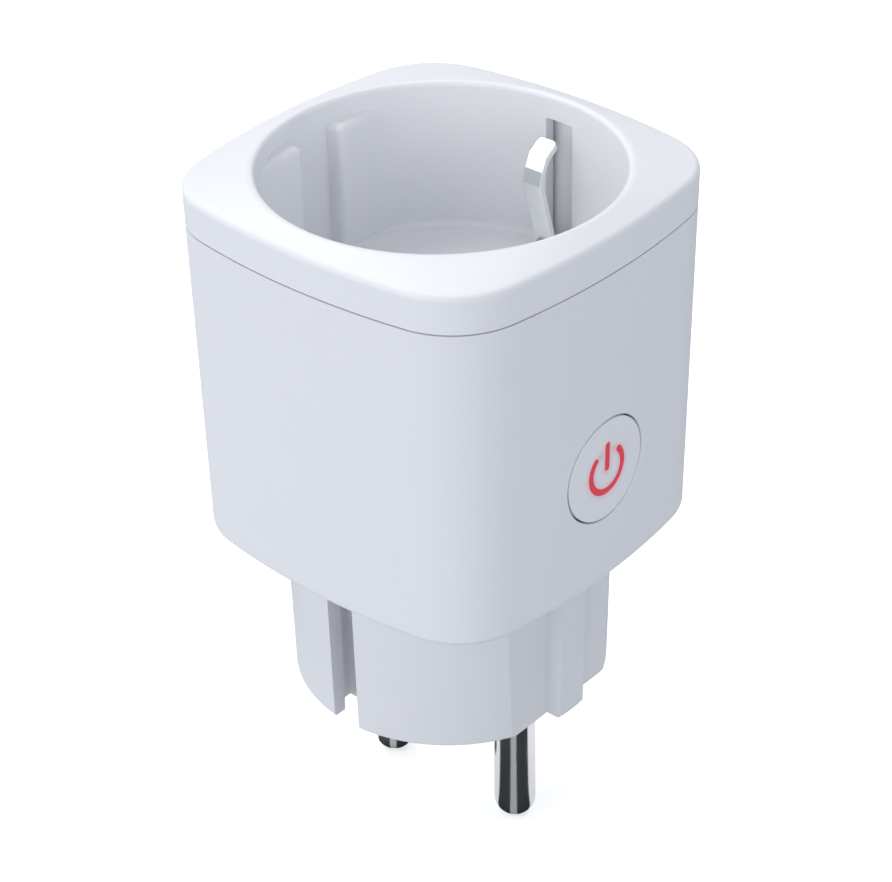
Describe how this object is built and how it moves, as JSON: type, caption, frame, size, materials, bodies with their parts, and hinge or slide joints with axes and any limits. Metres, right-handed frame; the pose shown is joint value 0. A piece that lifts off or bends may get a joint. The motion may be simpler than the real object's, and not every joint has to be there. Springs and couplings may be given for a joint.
{
  "type": "smart plug",
  "caption": "Plug-through mains socket with a square white case, a round recessed outlet on top, a two-pin plug below and a lit push button on one side.",
  "frame": {"origin": "centre of the plug's engagement face, midway between the two pins", "axes": "+Z out of the socket, pins point to -Z; the pins lie on the Y axis, the earth clips on the X axis, and the button faces -Y"},
  "size_m": [0.0454, 0.0454, 0.0818],
  "materials": {
    "cap_plastic": "smooth satin white",
    "case_plastic": "fine matt white",
    "plug_plastic": "fine matt white",
    "button_plastic": "smooth translucent white",
    "symbol_red": "translucent, lit red from behind",
    "pin_plating": "bright nickel plate on brass",
    "clip_plating": "bright nickel plate on spring bronze",
    "earth_metal": "nickel-plated brass strip",
    "contact_bronze": "phosphor bronze",
    "board_laminate": "solder-masked laminate",
    "screw_steel": "zinc-plated",
    "switch_black": "moulded",
    "plunger_plastic": "moulded",
    "lamp_clear": "lamp package",
    "shield_tin": "tinned can",
    "relay_plastic": "moulded",
    "coil_copper": "enamelled copper winding",
    "relay_iron": "plated iron",
    "relay_bronze": "contact bronze",
    "can_aluminium": "drawn can",
    "film_yellow": "epoxy-filled box",
    "varistor_blue": "epoxy dip",
    "fuse_ceramic": "ceramic tube"
  },
  "bodies": {
    "casing": {"board_header": "switch_black", "board_screws": "screw_steel", "bridge_rectifier": "switch_black", "choke": "coil_copper", "control_board": "board_laminate", "earth_bridge": "earth_metal", "earth_strip_left": "earth_metal", "earth_strip_right": "earth_metal", "fuse": "fuse_ceramic", "housing": "case_plastic", "indicator_lamps": "lamp_clear", "input_capacitor": "can_aluminium", "live_contact": "contact_bronze", "live_pin": "pin_plating", "main_board": "board_laminate", "meter_chip": "switch_black", "neutral_contact": "contact_bronze", "neutral_pin": "pin_plating", "output_capacitor": "can_aluminium", "plug_base": "plug_plastic", "push_switch": "switch_black", "radio_board": "board_laminate", "radio_shield": "shield_tin", "relay_base": "relay_plastic", "relay_case": "relay_plastic", "relay_coil": "coil_copper", "relay_contact": "relay_bronze", "relay_yoke": "relay_iron", "shunt_resistor": "relay_bronze", "socket_cover": "cap_plastic", "varistor": "varistor_blue", "x_capacitor": "film_yellow"},
    "button": {"power_button": "button_plastic", "power_symbol": "symbol_red"},
    "plunger": {"switch_plunger": "plunger_plastic"},
    "clip_right": {"earth_clip_right": "clip_plating"},
    "clip_left": {"earth_clip_left": "clip_plating"},
    "armature": {"relay_armature": "relay_iron"}
  },
  "joints": [
    {"name": "button_press", "type": "slide", "parent": "casing", "child": "button", "axis": [0, 1, 0], "range_m": [0, 0.0003], "stiffness_N_per_m": 800},
    {"name": "plunger_press", "type": "slide", "parent": "casing", "child": "plunger", "axis": [0, 1, 0], "range_m": [0, 0.0003]},
    {"name": "clip_right_flex", "type": "hinge", "parent": "casing", "child": "clip_right", "pos_m": [0.01735, 0, 0.044], "axis": [0, 1, 0], "range_deg": [0, 8], "stiffness_Nm_per_rad": 0.5},
    {"name": "clip_left_flex", "type": "hinge", "parent": "casing", "child": "clip_left", "pos_m": [-0.01735, 0, 0.044], "axis": [0, -1, 0], "range_deg": [0, 8], "stiffness_Nm_per_rad": 0.5},
    {"name": "armature_rock", "type": "hinge", "parent": "casing", "child": "armature", "pos_m": [0.01195, 0.002, 0.03835], "axis": [1, 0, 0], "range_deg": [0, 2.8], "stiffness_Nm_per_rad": 0.05}
  ],
  "couplings": [
    {"joint": "plunger_press", "follows": "button_press", "ratio": 1}
  ]
}
